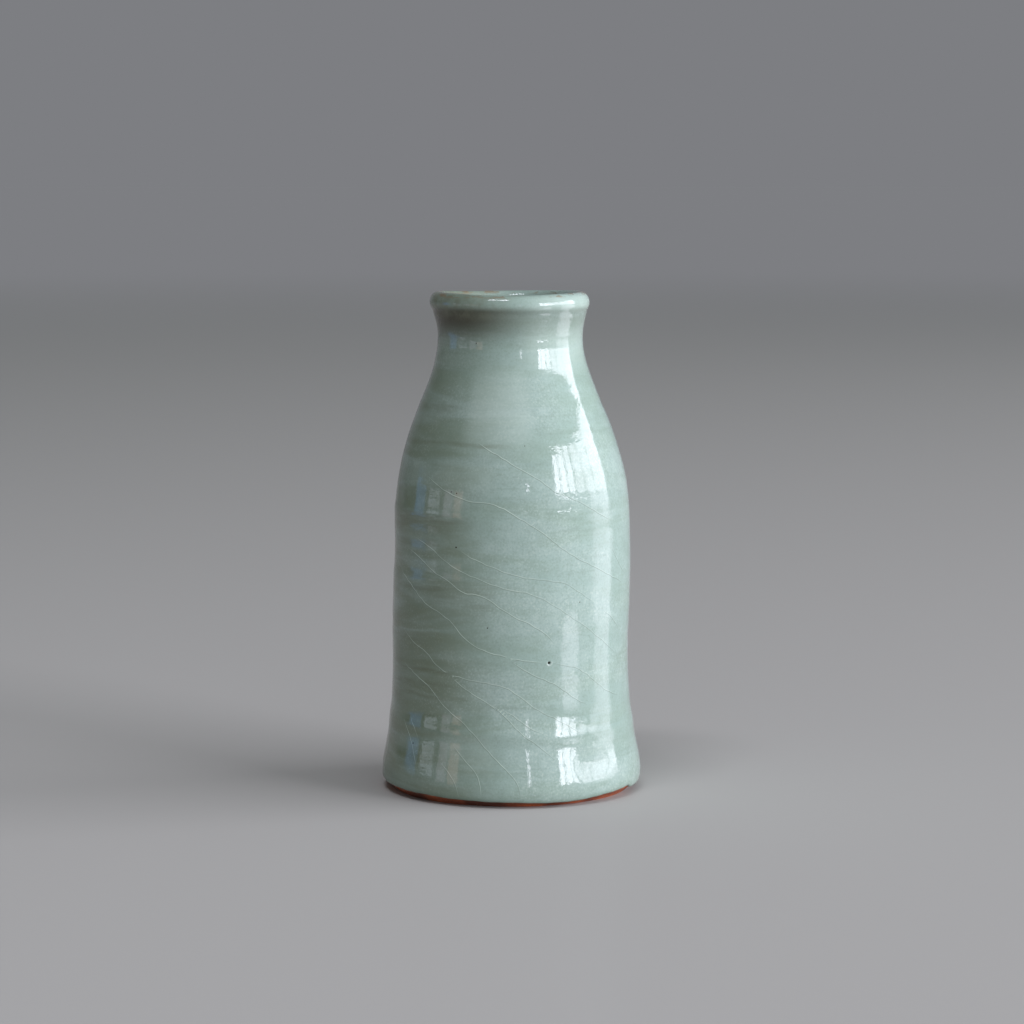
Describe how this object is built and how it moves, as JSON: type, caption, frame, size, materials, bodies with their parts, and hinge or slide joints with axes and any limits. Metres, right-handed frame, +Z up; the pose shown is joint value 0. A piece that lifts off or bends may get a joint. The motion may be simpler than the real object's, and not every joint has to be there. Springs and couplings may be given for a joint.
{
  "type": "sake bottle",
  "caption": "Wheel-thrown ceramic sake bottle with a straight round body, sloping shoulder, short neck, rolled lip and bare foot rim under a crackled celadon glaze",
  "frame": {"origin": "centre of the foot, on the plane that the bottle stands on", "axes": "+Z up along the bottle's axis, +X to the right and +Y away as the bottle is pictured from the front"},
  "size_m": [0.0682, 0.0682, 0.13],
  "materials": {
    "clay": "bare fired stoneware, iron-red to rust orange, fine turning lines, matte",
    "celadon_glaze": "glossy grey-green celadon with a long-lined crackle, faint horizontal throwing streaks and small iron specks, thinner and browner at the lip",
    "liner_glaze": "glossy pale grey-green liner glaze over throwing rings"
  },
  "bodies": {
    "root": {"clay_body": "clay", "outer_glaze": "celadon_glaze", "inner_glaze": "liner_glaze"}
  },
  "joints": []
}
